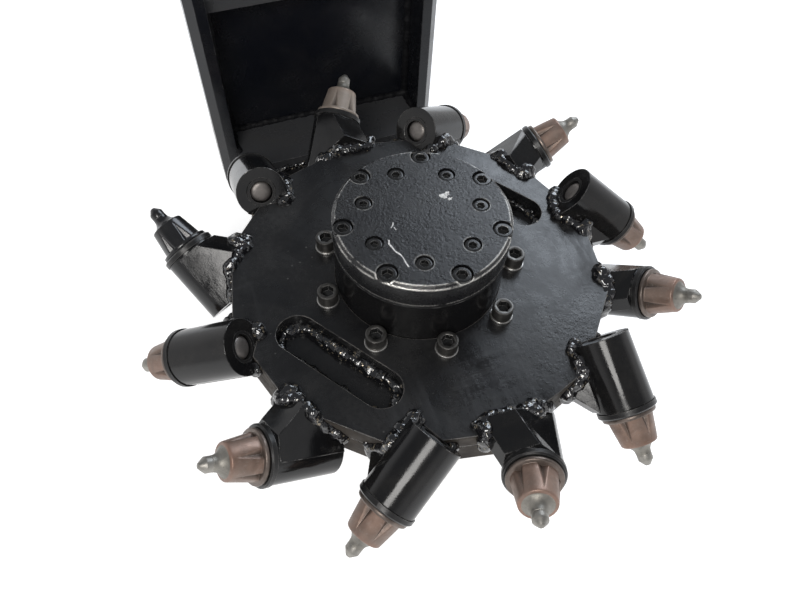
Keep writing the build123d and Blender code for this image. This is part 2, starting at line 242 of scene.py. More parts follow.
def disc_paint():
    """Disc paint: dust, brushed swirls, pale specks, worn edges that are also lightened all along as a
    painted edge highlight, and rough slot walls.
    """
    s = Shader("disc_paint")
    cloud = s.noise(11, 6, 0.6, warp=0.8)
    fine = s.noise(260, 3, 0.6)
    film = s.calc("MULTIPLY", s.remap(cloud, 0.38, 0.70, 0.0, 0.75), s.remap(fine, 0.25, 0.75, 0.3, 1.0))
    tone = s.mix(film, (0.0065, 0.0066, 0.0074), (0.034, 0.033, 0.032))
    swirl_a = s.noise(34, 6, 0.7, at=s.stretched((1.0, 0.09, 1.0), (0, 0, -28)), warp=0.3)
    swirl_b = s.noise(46, 6, 0.7, at=s.stretched((0.08, 1.0, 1.0), (0, 0, 22)), warp=0.25)
    where = s.remap(s.noise(7, 2), 0.42, 0.6)
    swirls = s.calc("ADD", s.remap(swirl_a, 0.5, 0.72), s.remap(swirl_b, 0.54, 0.74))
    brushed = s.calc("MULTIPLY", swirls, where)
    specks = s.remap(s.cells(120), 0.0, 0.13, 1.0, 0.0)
    specks = s.calc("MULTIPLY", specks, s.remap(s.noise(21, 2), 0.56, 0.62))
    tone = s.mix(s.calc("MULTIPLY", specks, 0.5), tone, (0.16, 0.155, 0.15))
    tone = s.mix(s.calc("MULTIPLY", brushed, 0.35), tone, (0.050, 0.050, 0.053))
    # Edges lightened all along: worn paint in patches, and a faint painted highlight everywhere on them.
    rim = s.calc("MULTIPLY", s.edges(1.3, 0.03, 0.2), s.remap(s.noise(55, 5, 0.7), 0.40, 0.60, 0.12, 0.8))
    tone = s.mix(rim, tone, (0.32, 0.30, 0.28))
    gloss = s.remap(s.noise(13, 7, 0.75, warp=0.7), 0.34, 0.66, 0.11, 0.44)
    gloss = s.calc("ADD", gloss, s.calc("MULTIPLY", brushed, 0.14))
    normal = s.node("ShaderNodeNewGeometry").outputs["Normal"]
    up = s.calc("ABSOLUTE", s.axis_part(2, normal))
    side = s.remap(up, 0.3, 0.7, 1.0, 0.0)
    waves = s.bump(s.noise(130, 3, 0.6), 0.07, s.bump(s.noise(30, 2, 0.5), 0.12, s.rounded(1.0)))
    brush = s.bump(brushed, 0.05, waves)
    rough_wall = s.bump(s.calc("MULTIPLY", s.noise(210, 4, 0.65), side), 0.9, brush)
    grit = s.calc("MULTIPLY", s.noise(330, 4, 0.65), s.remap(s.noise(19, 4), 0.4, 0.6, 0.25, 1.0))
    grain = s.bump(grit, 0.26, rough_wall)
    skin = s.bump(s.noise(800, 2, 0.5), 0.03, grain)
    metal = s.calc("MULTIPLY", rim, 0.7)
    return s.set(color=tone, rough=gloss, metal=metal, normal=skin, specular=0.45).material


def cover_paint():
    """Thick textured paint of the hub cover, chipped along its rim."""
    s = Shader("cover_paint")
    grain = s.noise(520, 4, 0.65)
    pits = s.cells(240)
    film = s.remap(s.noise(14, 5, 0.6, warp=0.5), 0.4, 0.72, 0.05, 0.55)
    tone = s.mix(film, (0.006, 0.006, 0.007), (0.025, 0.025, 0.025))
    front = s.remap(s.axis_part(1), (CUTTER_Y - 22.0) * MM, (CUTTER_Y + 4.0) * MM, 0.085, 0.0)
    outer = s.remap(s.from_axis(), 71.0 * MM, 72.5 * MM, 0.25, 1.0)
    ragged = s.remap(s.calc("ADD", s.noise(34, 7, 0.75), s.calc("MULTIPLY", front, outer)), 0.50, 0.57)
    chips = s.calc("MULTIPLY", s.calc("MULTIPLY", s.edges(2.3, 0.02, 0.15), ragged), outer)
    tone = s.mix(chips, tone, (0.74, 0.72, 0.68))
    gloss = s.remap(s.noise(40, 5, 0.7), 0.3, 0.7, 0.15, 0.38)
    waves = s.bump(s.noise(36, 2, 0.5), 0.14)
    texture = s.bump(grain, 0.36, waves)
    skin = s.bump(s.remap(pits, 0.0, 0.5), 0.10, texture)
    metal = s.calc("MULTIPLY", chips, 0.85)
    return s.set(color=tone, rough=gloss, metal=metal, normal=skin, specular=0.43).material


def weld_paint(name="weld_paint", bare_share=0.6, gloss=(0.03, 0.11), shine=1.0):
    """Weld metal flooded with gloss paint, bare and golden where the paint did not take."""
    s = Shader(name)
    bare = s.remap(s.noise(260, 5, 0.7), 0.60, 0.66, 0.0, bare_share)
    tone = s.mix(bare, (0.006, 0.006, 0.007), (0.52, 0.44, 0.32))
    ripples = s.bump(s.noise(95, 2, 0.5, warp=0.9), 2.2)
    skin = s.bump(s.noise(330, 2, 0.5), 0.3, ripples)
    return s.set(color=tone, rough=s.remap(s.noise(90, 4, 0.6), 0.3, 0.7, *gloss),
                 metal=s.calc("MULTIPLY", bare, 0.8), normal=skin, specular=shine).material


def pick_body_steel(name="pick_body_steel", light=(0.258, 0.172, 0.134), dark=(0.128, 0.084, 0.064),
                    grey=(0.205, 0.165, 0.142), warm=(0.27, 0.150, 0.108)):
    """Forged pick body with a brown heat tint, coppery towards the nose, and painted shade darkening the
    flutes.
    """
    s = Shader(name)
    along = s.attribute("along")
    flute_shade = s.attribute("flute_shade")
    blotch = s.noise(58, 6, 0.65, warp=0.7)
    tone = s.mix(s.remap(blotch, 0.3, 0.72), light, dark)
    tone = s.mix(s.remap(s.noise(25, 3), 0.42, 0.66, 0.0, 0.65), tone, grey)
    copper = s.calc("MULTIPLY", s.remap(along, 0.27, 0.329), s.remap(s.noise(75, 4), 0.36, 0.66, 0.1, 0.6))
    tone = s.mix(copper, tone, warm)
    # Painted shade: the flutes are darkened by their depth.
    tone = s.mix(s.calc("MULTIPLY", flute_shade, 0.75), tone, (0.050, 0.041, 0.036))
    scale = s.remap(s.noise(420, 4, 0.7), 0.56, 0.72, 0.0, 0.5)
    tone = s.mix(scale, tone, (0.28, 0.24, 0.215))
    rim = s.calc("MULTIPLY", s.edges(0.7), s.remap(s.noise(90, 4), 0.4, 0.6, 0.1, 0.7))
    tone = s.mix(rim, tone, (0.38, 0.32, 0.275))
    gloss = s.remap(s.noise(120, 4, 0.6), 0.3, 0.7, 0.34, 0.54)
    skin = s.bump(s.noise(300, 4, 0.6), 0.10, s.bump(s.noise(70, 3), 0.25))
    return s.set(color=tone, rough=gloss, metal=0.5, normal=skin).material


def bare_steel(name, light, dark, rough, metal, grain, edge_tone=None):
    """Plain steel with stains, fine grain and lighter edges: rubbed wear, and painted glints where edge_tone
    is pale.
    """
    s = Shader(name)
    stain = s.remap(s.noise(70, 6, 0.66, warp=0.6), 0.32, 0.7)
    tone = s.mix(stain, light, dark)
    specks = s.remap(s.noise(520, 3, 0.6), 0.6, 0.74, 0.0, 0.55)
    tone = s.mix(specks, tone, tuple(v * 0.45 for v in dark))
    rim = s.calc("MULTIPLY", s.edges(0.5), s.remap(s.noise(120, 4), 0.38, 0.6, 0.1, 0.8))
    tone = s.mix(rim, tone, edge_tone or tuple(min(0.75, v * 1.7) for v in light))
    gloss = s.remap(s.noise(160, 4, 0.6), 0.3, 0.7, *rough)
    skin = s.bump(s.noise(900, 2, 0.5), grain, s.bump(s.noise(110, 3), 0.08))
    return s.set(color=tone, rough=gloss, metal=metal, normal=skin).material


def rim_dust():
    """Dull brown-grey dust and flash rust over paint."""
    s = Shader("rim_dust")
    cloud = s.remap(s.noise(26, 6, 0.65, warp=0.6), 0.34, 0.68)
    tone = s.mix(cloud, (0.030, 0.026, 0.023), (0.075, 0.064, 0.054))
    streaks = s.noise(60, 4, 0.6, at=s.stretched((1, 1, 0.12)))
    tone = s.mix(s.remap(streaks, 0.55, 0.72, 0.0, 0.6), tone, (0.020, 0.018, 0.017))
    gloss = s.remap(s.noise(90, 3), 0.3, 0.7, 0.55, 0.8)
    skin = s.bump(s.noise(330, 4, 0.6), 0.12, s.bump(s.noise(50, 3), 0.3))
    return s.set(color=tone, rough=gloss, normal=skin, specular=0.15).material


def scratch_white():
    """Chalky white of a paint mark or a deep scratch, broken up at its edges."""
    s = Shader("scratch_white")
    tone = s.mix(s.remap(s.noise(420, 5, 0.7), 0.4, 0.62), (0.78, 0.77, 0.75), (0.30, 0.30, 0.30))
    return s.set(color=tone, rough=s.remap(s.noise(300, 3), 0.3, 0.7, 0.5, 0.8),
                 normal=s.bump(s.noise(700, 3), 0.06)).material


PAINT = black_paint("black_paint")
BRACKET_PAINT = black_paint(
    "bracket_paint", (0.0055, 0.0063, 0.0088), rough=(0.16, 0.32), peel=0.014, wave=0.16, dust=0.22,
    wear=0.4, edge=1.2, scuffs=0.2, specular=0.32)
# Holder paint: its edges are worn to bare steel more widely, partly real wear and partly painted highlights
# along the ridges and bore rims.
HOLDER_PAINT = black_paint(
    "holder_paint", (0.0065, 0.0065, 0.007), rough=(0.06, 0.23), peel=0.03, wave=0.24, dust=0.3,
    wear=0.85, edge=1.3, scuffs=0.3, specular=0.34)
BARREL_PAINT = black_paint(
    "barrel_paint", (0.0055, 0.0055, 0.006), rough=(0.14, 0.30), peel=0.05, wave=0.4, dust=0.12,
    wear=0.8, edge=0.9, scuffs=0.3, specular=0.17)
# Paint of the upward bracket floor and cross plate: scuffed and dusty, and made lighter as a painted sheen
# of the sky.
FLOOR_PAINT_AND_SHEEN = black_paint(
    "bracket_floor_paint_and_sheen", (0.046, 0.047, 0.050), rough=(0.20, 0.40), peel=0.03, wave=0.3, dust=0.4,
    wear=0.5, edge=1.2, scuffs=0.8, specular=0.6)
PICK_PAINT = black_paint(
    "pick_paint", (0.010, 0.010, 0.011), rough=(0.12, 0.26), peel=0.02, wave=0.12, dust=0.3,
    wear=0.55, edge=0.7, scuffs=0.2)
DISC_PAINT = disc_paint()
COVER_PAINT = cover_paint()
WELD_PAINT = weld_paint()
SLOT_PAINT = weld_paint("slot_weld_paint", bare_share=0.95, gloss=(0.06, 0.20))
SEAM_PAINT = weld_paint("seam_paint", bare_share=0.0, gloss=(0.46, 0.66), shine=0.14)
PICK_BODY = pick_body_steel()
# Greyer pick steel for pick_01, also made lighter as painted sky light on the top pick.
GREY_SKY_LIT_PICK_BODY = pick_body_steel(
    "grey_sky_lit_pick_steel", light=(0.345, 0.285, 0.240), dark=(0.190, 0.155, 0.128),
    grey=(0.275, 0.238, 0.206), warm=(0.34, 0.235, 0.175))
PICK_NOSE = bare_steel(
    "pick_nose_steel", (0.275, 0.260, 0.232), (0.152, 0.144, 0.128),
    rough=(0.40, 0.56), metal=0.75, grain=0.06)
PICK_TIP = bare_steel(
    "carbide", (0.33, 0.315, 0.288), (0.190, 0.181, 0.165), rough=(0.38, 0.54), metal=0.75, grain=0.04)
PICK_COLLAR = bare_steel(
    "pick_collar_steel", (0.185, 0.150, 0.130), (0.085, 0.068, 0.058),
    rough=(0.30, 0.46), metal=0.7, grain=0.05)
SHANK_STEEL = bare_steel(
    "shank_steel", (0.285, 0.262, 0.246), (0.150, 0.138, 0.130), rough=(0.38, 0.55), metal=0.8, grain=0.05)
RING_STEEL = bare_steel(
    "ring_steel", (0.030, 0.029, 0.029), (0.014, 0.014, 0.014), rough=(0.26, 0.42), metal=0.5, grain=0.05,
    edge_tone=(0.22, 0.21, 0.20))
SCREW_STEEL = bare_steel(
    "screw_steel", (0.150, 0.145, 0.138), (0.062, 0.059, 0.055), rough=(0.30, 0.46), metal=0.85, grain=0.04,
    edge_tone=(0.36, 0.345, 0.325))
WASHER_STEEL = bare_steel(
    "washer_steel", (0.50, 0.49, 0.47), (0.26, 0.25, 0.24), rough=(0.28, 0.42), metal=0.9, grain=0.04)
# Cover screws: their pale edge tone paints glints on the head and socket edges.
COVER_SCREW = bare_steel(
    "cover_screw_steel", (0.034, 0.034, 0.035), (0.012, 0.012, 0.012),
    rough=(0.12, 0.28), metal=0.4, grain=0.04, edge_tone=(0.48, 0.47, 0.45))
WHITE_MARK = scratch_white()
RIM_DUST = rim_dust()


# Mesh building
def piece(name, verts_mm, faces, materials, body, slot, face_material=None, smooth=38.0, floats=None):
    """Makes a mesh piece from points in mm in the shared frame, and lets it ride on a body."""
    mesh = bpy.data.meshes.new(name)
    mesh.from_pydata([tuple(v) for v in np.asarray(verts_mm) * MM], [], faces)
    for material in materials if isinstance(materials, (list, tuple)) else [materials]:
        mesh.materials.append(material)
    if face_material is not None:
        mesh.polygons.foreach_set("material_index", face_material)
    for key, values in (floats or {}).items():
        mesh.attributes.new(key, "FLOAT", "POINT").data.foreach_set("value", values)
    mesh.validate()
    mesh.shade_smooth()
    mesh.set_sharp_from_angle(angle=math.radians(smooth))
    made = linked(name, mesh)
    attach(made, body)
    return made


def lathe(rows, segments):
    """Rings turned about z. A row is (radius, height), where radius is a number or a function of the angle.
    Returns points, faces and the row that each face starts from; rows of radius 0 close the end."""
    angles = np.linspace(0, 2 * math.pi, segments, endpoint=False)
    verts, starts, single = [], [], []
    for radius, height in rows:
        starts.append(len(verts))
        if not callable(radius) and radius == 0:
            single.append(True)
            verts.append((0.0, 0.0, height))
            continue
        single.append(False)
        reach = radius(angles) if callable(radius) else np.full(segments, float(radius))
        level = np.full(segments, float(height))
        verts.extend(zip(reach * np.cos(angles), reach * np.sin(angles), level))
    faces, face_rows = [], []
    for row in range(len(rows) - 1):
        a, b = starts[row], starts[row + 1]
        for k in range(segments):
            n = (k + 1) % segments
            if single[row]:
                faces.append((a, b + n, b + k))
            elif single[row + 1]:
                faces.append((a + k, a + n, b))
            else:
                faces.append((a + k, a + n, b + n, b + k))
            face_rows.append(row)
    return np.array(verts), faces, face_rows


def placed(verts, matrix):
    """Points moved by a 4x4 matrix in mm."""
    m = np.array(matrix)
    return verts @ m[:3, :3].T + m[:3, 3]


def joined(parts):
    """Several (points, faces) as one."""
    verts, faces, base = [], [], 0
    for points, polys in parts:
        verts.append(points)
        faces.extend(tuple(i + base for i in poly) for poly in polys)
        base += len(points)
    return np.concatenate(verts), faces


def upright(x, y, z, turn=0.0):
    """Matrix of a piece that stands at a point, turned about z by degrees."""
    return Matrix.Translation((x, y, z)) @ Matrix.Rotation(math.radians(turn), 4, "Z")


def bare_mesh(verts, faces):
    """Work object that is cut, joined or smoothed by modifiers and then removed."""
    mesh = bpy.data.meshes.new("work")
    mesh.from_pydata([tuple(v) for v in verts], [], faces)
    return linked("work", mesh)


def evaluated(work):
    """Points, normals and faces of a work object after its modifiers."""
    graph = bpy.context.evaluated_depsgraph_get()
    skin = bpy.data.meshes.new_from_object(work.evaluated_get(graph))
    points = np.array([v.co[:] for v in skin.vertices])
    normals = np.array([v.normal[:] for v in skin.vertices])
    faces = [tuple(f.vertices) for f in skin.polygons]
    bpy.data.meshes.remove(skin)
    return points, normals, faces


# Stations of the picks, read from the joints
stations = []
for joint in frame["joints"]:
    if joint["name"].startswith("pick_"):
        seat = Vector(joint["pos_m"]) / MM
        axis = Vector(joint["axis"]).normalized()
        side = 1.0 if axis.z > 0 else -1.0
        away = Vector((0, 0, -side))
        away = (away - axis * away.dot(axis)).normalized()
        across = axis.cross(away)
        matrix = Matrix((away, across, axis)).transposed().to_4x4()
        matrix.translation = seat
        stations.append((joint["child"], matrix, side))
PAINTED_PICK, GREY_SKY_LIT_PICK = "pick_11", "pick_01"


# Picks
FLUTES, FLUTE_LENGTH, FLUTE_DEPTH, FLUTE_WIDTH, FLUTE_R = 6, 21.0, 3.2, 8.0, 18.0
BODY_START, BODY_R, BODY_END_R = 9.0, 19.0, 15.28
CONE_START, CONE_LENGTH, CONE_STEPS = 9.3, 22.3, 24
NOSE_START, NOSE_LENGTH, NOSE_STEPS, NOSE_R, NOSE_ROOT = 33.2, 8.9, 10, 6.35, 5.6
# Flute depth at which the painted shade in the flutes is at its darkest
FLUTE_SHADE_DEPTH = 2.2
PICK_SEGMENTS = 168
SHANK, COLLAR, BODY, NOSE, CARBIDE = range(5)


def pick_rows():
    """Profile of a pick from the shank's end to the tip: radius, height and what the row belongs to."""
    rows = [(r, z, SHANK) for r, z in (
        (0, -59.2), (4.5, -59.1), (7.5, -58.6), (9.3, -57.6), (10.0, -56.2))]
    rows += [(r, z, COLLAR) for r, z in (
        (10.0, 5.35), (21.6, 5.35), (22.3, 5.7), (22.5, 6.3), (22.5, 7.7), (22.2, 8.5), (21.5, 8.9),
        (19.6, 9.0))]
    rows.append((19.1, 9.15, BODY))
    for k in range(CONE_STEPS + 1):
        t = k / CONE_STEPS
        rows.append((BODY_R + (BODY_END_R - BODY_R) * t, CONE_START + CONE_LENGTH * t, BODY))
    rows += [(15.05, 32.2, BODY), (14.55, 32.75, BODY), (13.9, 33.0, BODY), (12.4, 33.05, NOSE)]
    for k in range(NOSE_STEPS + 1):
        t = k / NOSE_STEPS
        rows.append((NOSE_R + NOSE_ROOT * (1 - t) ** 2.3, NOSE_START + NOSE_LENGTH * t, NOSE))
    rows += [(r, z, CARBIDE) for r, z in (
        (6.1, 42.3), (6.2, 42.6), (6.25, 43.1), (6.25, 47.2), (6.1, 47.55), (2.5, 51.9), (2.1, 52.25),
        (1.4, 52.45), (0, 52.5))]
    return rows


def flute_cut(angles, z):
    """Depth of the flutes below the body at a height."""
    left = 1 - (z - BODY_START) / FLUTE_LENGTH
    if not 0 < left <= 1:
        return np.zeros_like(angles)
    step = 2 * math.pi / FLUTES
    off = np.abs((angles + step / 2) % step - step / 2) * FLUTE_R
    half = FLUTE_WIDTH / 2 * left + 0.2
    return FLUTE_DEPTH * left * np.clip(1 - (off / half) ** 1.15, 0, 1)


def make_pick(name, matrix, painted):
    """A pick in the place of its node, with its flutes' depth kept for the painted shade in them."""
    rows, kinds = [], []
    cone_end = CONE_START + CONE_LENGTH
    for radius, z, kind in pick_rows():
        if kind == BODY and BODY_START < z < cone_end + 0.2:
            rows.append((lambda a, r=radius, h=z: r - flute_cut(a, h), z))
        else:
            rows.append((radius, z))
        kinds.append(kind)
    verts, faces, face_rows = lathe(rows, PICK_SEGMENTS)
    # Painted shade in the flutes, by their depth below the plain body
    flute_shade = np.zeros(len(verts))
    reach = np.hypot(verts[:, 0], verts[:, 1])
    plain = np.interp(verts[:, 2], [CONE_START, cone_end], [BODY_R, BODY_END_R])
    inside = (verts[:, 2] > CONE_START - 0.2) & (verts[:, 2] < cone_end)
    flute_shade[inside] = np.clip((plain[inside] - reach[inside]) / FLUTE_SHADE_DEPTH, 0, 1)
    turn = Matrix.Rotation(RNG.uniform(0, 2 * math.pi), 4, "Z")
    points = placed(verts, matrix @ turn)
    bare = [SHANK_STEEL, PICK_COLLAR, PICK_BODY, PICK_NOSE, PICK_TIP]
    # pick_01 gets the greyer steel, lightened by painted sky light.
    if name == GREY_SKY_LIT_PICK:
        bare[COLLAR] = bare[BODY] = GREY_SKY_LIT_PICK_BODY
    materials = [PICK_PAINT] if painted else bare
    index = [0 if painted else kinds[r] for r in face_rows]
    made = piece(f"{name}_dressed", points, faces, materials, name, "pick_steel", index, 42.0,
                 {"along": verts[:, 2] * 0.01, "flute_shade": flute_shade})
    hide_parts(name)


for name, matrix, _ in stations:
    make_pick(name, matrix, name == PAINTED_PICK)


# Holders: round bars with a ridge and a foot that slopes to the disc and ends steeply at its rim
HOLDER_R, HOLDER_TOP, HOLDER_BASE = 24.0, -0.1, -60.0
RIDGE_R, RIDGE_SIDE, FLAT_ANGLE, FLAT_END = 27.7, 13.9, 30.0, 6.5
FOOT_START, FOOT_LENGTH, FOOT_SLOPE, HEEL_LENGTH, HEEL_SLOPE = -2.0, 33.0, 40.0, 27.0, 52.0
BORE_R, BORE_END, KNOCK_OUT_R, KNOCK_OUT_END = 10.35, -30.0, 13.8, -52.0
CORE_R, CORE_LOW, CORE_HIGH = 16.0, -65.0, 5.0
HOLDER_ROUND, HOLDER_SHARP = 0.8, 24.0


def convex(points):
    """Hull of a few points, in mm, as a work object."""
    hull = bmesh.new()
    for p in points:
        hull.verts.new(p)
    made = bmesh.ops.convex_hull(hull, input=hull.verts)
    loose = {g for g in made["geom_interior"] + made["geom_unused"] if isinstance(g, bmesh.types.BMVert)}
    bmesh.ops.delete(hull, geom=list(loose), context="VERTS")
    mesh = bpy.data.meshes.new("work")
    hull.to_mesh(mesh)
    hull.free()
    return linked("work", mesh)


def holder_mesh():
    """Points and faces of a holder whose tip points up, with small round edges."""
    bar_rows = [
        (0, BORE_END), (BORE_R, BORE_END), (BORE_R, KNOCK_OUT_END), (KNOCK_OUT_R, KNOCK_OUT_END),
        (KNOCK_OUT_R, HOLDER_BASE), (HOLDER_R, HOLDER_BASE), (HOLDER_R, HOLDER_TOP), (0, HOLDER_TOP)]
    core_rows = [(0, CORE_LOW), (CORE_R, CORE_LOW), (CORE_R, CORE_HIGH), (0, CORE_HIGH)]
    bar = bare_mesh(*lathe(bar_rows, 128)[:2])
    core = bare_mesh(*lathe(core_rows, 64)[:2])
    turn = math.radians(FLAT_ANGLE)
    along = Vector((-math.sin(turn), -math.cos(turn), 0))
    flat = Vector((-math.cos(turn), math.sin(turn), 0)) * HOLDER_R
    rest = ((-RIDGE_R, 0), (-RIDGE_SIDE, -HOLDER_R), (0, -HOLDER_R), (0, 0))
    front = [flat - along * FLAT_END] + [Vector((x, y, 0)) for x, y in rest]
    front = [p + Vector((0, 0, FOOT_START)) for p in front]
    slope, heel = math.radians(FOOT_SLOPE), math.radians(HEEL_SLOPE)
    run = (along * math.sin(slope) - Vector((0, 0, math.cos(slope)))) * FOOT_LENGTH
    drop = (-along * math.sin(heel) - Vector((0, 0, math.cos(heel)))) * HEEL_LENGTH
    foot = convex(front + [p + run for p in front] + [p + run + drop for p in front])
    ridge = convex(front + [Vector((p.x, p.y, HOLDER_BASE)) for p in front])
    for base, other, operation in (
        (foot, core, "DIFFERENCE"), (ridge, core, "DIFFERENCE"),
        (bar, foot, "UNION"), (bar, ridge, "UNION"),
    ):
        joint = base.modifiers.new("joint", "BOOLEAN")
        joint.operation, joint.solver, joint.object = operation, "EXACT", other
    soft = bar.modifiers.new("soft", "BEVEL")
    soft.width, soft.segments = HOLDER_ROUND, 2
    soft.limit_method, soft.angle_limit = "ANGLE", math.radians(HOLDER_SHARP)
    points, _, faces = evaluated(bar)
    for work in (bar, core, foot, ridge):
        bpy.data.objects.remove(work)
    return points, faces


holder_verts, holder_faces = holder_mesh()
holder_parts = []
for _, matrix, side in stations:
    points = holder_verts * np.array((1.0, side, 1.0))
    turned = holder_faces if side > 0 else [face[::-1] for face in holder_faces]
    holder_parts.append((placed(points, matrix), turned))
HOLDERS = piece(
    "holders_dressed", *joined(holder_parts), HOLDER_PAINT, "cutter", "black_paint", smooth=HOLDER_SHARP)
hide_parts("pick_holders")


# Weld metal, with its waves as (frequency per mm, height in mm)
WELD_WAVES, WELD_SMOOTHING = ((0.13, 1.1), (0.34, 0.6)), 6


def lumps(name, centres, body, voxel=1.3, rough=0.9, material=WELD_PAINT):
    """Joins balls (point, radius) into one lumpy skin."""
    base = bmesh.new()
    bmesh.ops.create_icosphere(base, subdivisions=2, radius=1.0)
    ball = np.array([v.co[:] for v in base.verts])
    polys = [tuple(v.index for v in f.verts) for f in base.faces]
    base.free()
    parts = [(ball * radius + np.array(centre), polys) for centre, radius in centres]
    verts, faces = joined(parts)
    work = bare_mesh(verts * MM, faces)
    remesh = work.modifiers.new("remesh", "REMESH")
    remesh.mode = "VOXEL"
    remesh.voxel_size = voxel * MM
    smooth = work.modifiers.new("smooth", "SMOOTH")
    smooth.iterations = WELD_SMOOTHING
    points, normals, skin = evaluated(work)
    bpy.data.objects.remove(work)
    points = points / MM
    push = np.array([sum(noise.noise(Vector(p) * f) * h for f, h in WELD_WAVES) for p in points])
    points = points + normals * (push * rough)[:, None]
    return piece(name, points, skin, material, body, "black_paint", smooth=80.0)


SIDE_ANGLES = np.radians(DISC_TURN + 360.0 / DISC_SIDES * np.arange(DISC_SIDES))
SIDE_NORMALS = np.stack([np.cos(SIDE_ANGLES), np.sin(SIDE_ANGLES), np.zeros(DISC_SIDES)], 1)


def disc_gaps(points):
    """Distances of points outside the disc's solid outline, and the directions out of it."""
    reach = (points - np.array(AXIS)) @ SIDE_NORMALS.T
    side = reach.argmax(1)
    up = np.tile((0, 0, 1.0), (len(points), 1))
    gaps = np.stack([reach.max(1) - DISC_APOTHEM, points[:, 2] - DISC_TOP, DISC_BOTTOM - points[:, 2]], 1)
    ways = np.stack([SIDE_NORMALS[side], up, -up], 1)
    widest = gaps.argmax(1)
    row = np.arange(len(points))
    return gaps[row, widest], ways[row, widest]


def skin_points(node, count):
    """Seeded points spread evenly over a node's faces, with the faces' normals, in mm."""
    mesh = node.data
    mesh.calc_loop_triangles()
    corners = [mesh.vertices[i].co[:] for t in mesh.loop_triangles for i in t.vertices]
    corners = np.array(corners).reshape(-1, 3, 3) / MM
    cross = np.cross(corners[:, 1] - corners[:, 0], corners[:, 2] - corners[:, 0])
    area = np.linalg.norm(cross, axis=1)
    dice = np.random.default_rng(SEED)
    chosen = dice.choice(len(area), count, p=area / area.sum())
    u, v = dice.random(count), dice.random(count)
    u, v = np.where(u + v > 1, 1 - u, u), np.where(u + v > 1, 1 - v, v)
    at = corners[chosen]
    points = at[:, 0] + (at[:, 1] - at[:, 0]) * u[:, None] + (at[:, 2] - at[:, 0]) * v[:, None]
    return points, cross[chosen] / area[chosen][:, None]


# Where the holders' welds lie: samples, distance from the disc's skin, pitch, and a window round each holder
WELD_SAMPLES, WELD_NEAR, WELD_PITCH = 150000, 2.2, 3.3
WELD_LOW, WELD_HIGH, WELD_INNER, WELD_OUTER = -61, -7, 22, 62


def holder_welds():
    """Balls of weld metal where the holders' skin meets the disc's."""
    points, normals = skin_points(HOLDERS, WELD_SAMPLES)
    gaps, ways = disc_gaps(points)
    near = np.abs(gaps) < WELD_NEAR
    points, lifts = points[near], (normals + ways)[near]
    outside = np.zeros(len(points), bool)
    for _, matrix, _ in stations:
        local = placed(points, matrix.inverted())
        reach = np.hypot(local[:, 0], local[:, 1])
        level = (local[:, 2] > WELD_LOW) & (local[:, 2] < WELD_HIGH)
        outside |= level & (reach > WELD_INNER) & (reach < WELD_OUTER)
    found, kept = [], []
    for p, lift in zip(points[outside], lifts[outside]):
        if kept and np.min(np.sum((np.array(kept) - p) ** 2, 1)) < WELD_PITCH ** 2:
            continue
        kept.append(p)
        lift = Vector(lift).normalized() if np.linalg.norm(lift) > 0.2 else Vector((0, 0, 0))
        p = Vector(p)
        found.append((p + lift * RNG.uniform(-0.4, 1.6), RNG.uniform(4.4, 7.6)))
        if RNG.random() < 0.35:
            jitter = Vector((RNG.uniform(-1, 1), RNG.uniform(-1, 1), RNG.uniform(-0.4, 0.4))) * 5.0
            found.append((p + lift * 0.5 + jitter, RNG.uniform(2.2, 4.4)))
    return found


lumps("holder_welds", holder_welds(), "cutter")


def seam(start, end, size, pitch=3.0, wander=0.5):
    """Balls along a straight weld run."""
    start, end = Vector(start), Vector(end)
    count = max(2, int((end - start).length / pitch))
    made = []
    for k in range(count + 1):
        p = start.lerp(end, k / count)
        p = p + Vector((RNG.uniform(-1, 1), RNG.uniform(-1, 1), RNG.uniform(-1, 1))) * wander
        made.append((p, size * RNG.uniform(0.82, 1.15)))
    return made


cross_front, floor_front, floor_weld_end = WALL_FRONT - CROSS_DEPTH, WALL_FRONT - FLOOR_DEPTH, -66.0
bracket_runs = []
for x in (1.0 - HALF_INNER, HALF_INNER - 1.0):
    bracket_runs += seam((x, WALL_FRONT, ARM_TOP + 16), (x, WALL_FRONT, CROSS_LOW), 5.0)
    bracket_runs += seam((x, WALL_FRONT, CROSS_HIGH), (x, WALL_FRONT, BRACKET_TOP - 4), 4.5)
    bracket_runs += seam((x, WALL_FRONT, FLOOR_TOP), (x, floor_weld_end, FLOOR_TOP), 5.0)
    bracket_runs += seam((x, WALL_FRONT - 4, CROSS_HIGH), (x, cross_front + 4, CROSS_HIGH), 5.0, 2.6, 1.2)
    bracket_runs += seam((x, WALL_BACK, ARM_TOP), (x, WALL_BACK, BRACKET_TOP - 4), 4.0)
for z, size in ((FLOOR_TOP, 5.2), (CROSS_LOW, 4.2)):
    bracket_runs += seam((-HALF_INNER, WALL_FRONT, z), (HALF_INNER, WALL_FRONT, z), size)
lumps("bracket_welds", bracket_runs, "frame", 1.5, 0.6, SEAM_PAINT)
arm_y = floor_front + 1
arm_run = seam((-HALF_INNER, arm_y, ARM_TOP), (HALF_INNER, arm_y, ARM_TOP), 5.6, 2.8, 0.9)
lumps("arm_weld", arm_run, "frame", 1.5, 0.6)

EAR_FACES, EAR_WELD_HALF = (55.0, 75.0, -55.0, -75.0), 98
PAD_SIDE, PAD_WELD_HALF = 105, 52
hitch_runs = []
for z in EAR_FACES:
    hitch_runs += seam((-EAR_WELD_HALF, WALL_BACK, z), (EAR_WELD_HALF, WALL_BACK, z), 4.4)
for x in (-PAD_SIDE, PAD_SIDE):
    hitch_runs += seam((x, WALL_BACK, -PAD_WELD_HALF), (x, WALL_BACK, PAD_WELD_HALF), 4.0)
lumps("hitch_welds", hitch_runs, "frame", 1.5, 0.5, SEAM_PAINT)


# Dust and rust on the rim of the two plates, with the line of their joint left free
RIM_DUST_THICK = 0.35


def ways_at(angle):
    """Directions out from the axis and along the rim at an angle in radians."""
    return Vector((math.cos(angle), math.sin(angle), 0)), Vector((-math.sin(angle), math.cos(angle), 0))


